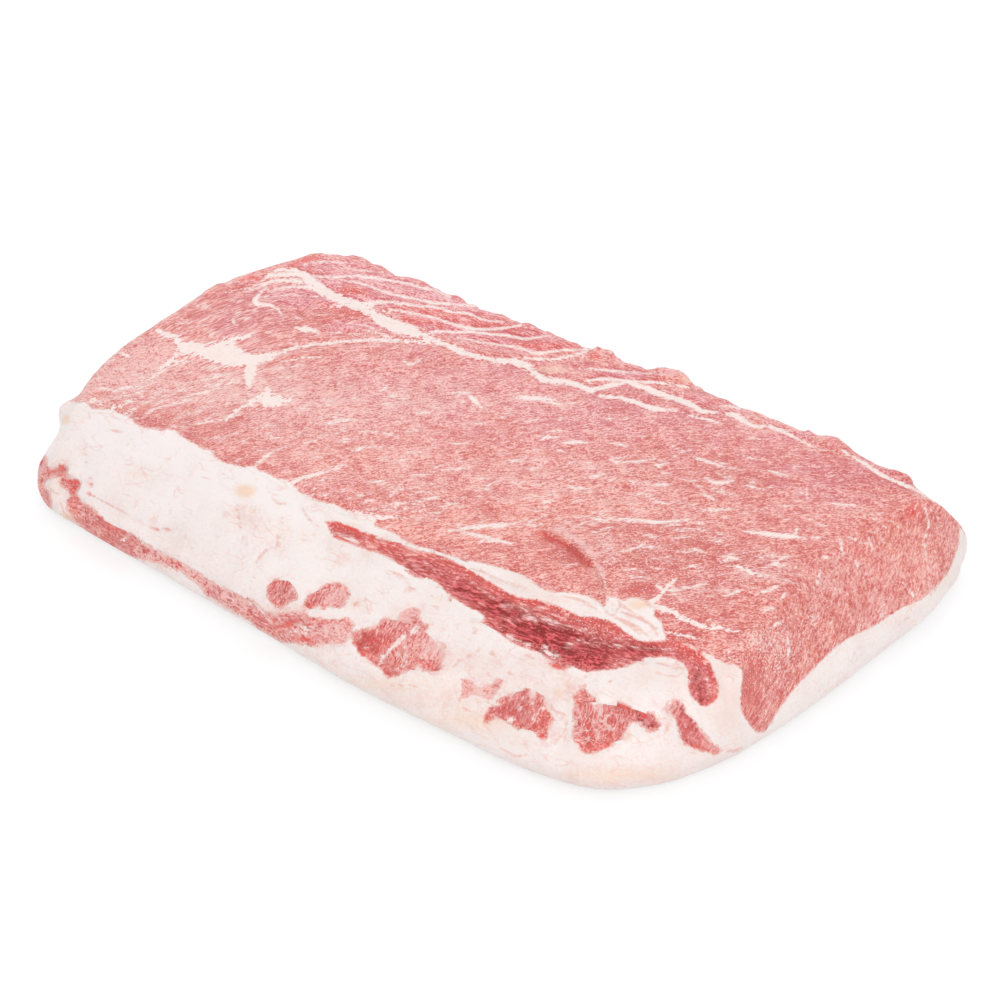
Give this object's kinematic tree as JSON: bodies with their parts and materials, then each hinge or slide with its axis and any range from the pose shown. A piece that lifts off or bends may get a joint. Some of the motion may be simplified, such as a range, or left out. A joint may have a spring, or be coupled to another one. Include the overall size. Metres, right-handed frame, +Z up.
{
  "type": "pork striploin",
  "caption": "Raw boneless pork loin piece lying on its fat cap, with the lean eye on top and muscle ends showing in the sloping front fat.",
  "frame": {"origin": "middle of the outline, on the surface that the fat cap rests on", "axes": "+X along the piece towards the cut end that shows in the picture, -Y towards the sloping front fat, +Z up through the lean"},
  "size_m": [0.3454, 0.2155, 0.045],
  "materials": {
    "lean": "raw lean pork, moist, fine pale marbling",
    "rib_lean": "raw pork muscle with pale silverskin stripes",
    "dark_lean": "darker, wetter pork muscle",
    "fat": "soft creamy white pork fat, slightly moist"
  },
  "bodies": {
    "root": {"loin_eye": "lean", "rib_muscle": "rib_lean", "fat_cap": "fat", "chine_muscle": "dark_lean", "cap_muscle": "rib_lean", "muscle_end_1": "rib_lean", "muscle_end_2": "rib_lean", "muscle_end_3": "dark_lean", "muscle_end_4": "rib_lean", "muscle_end_5": "rib_lean", "muscle_end_6": "dark_lean"}
  },
  "joints": []
}
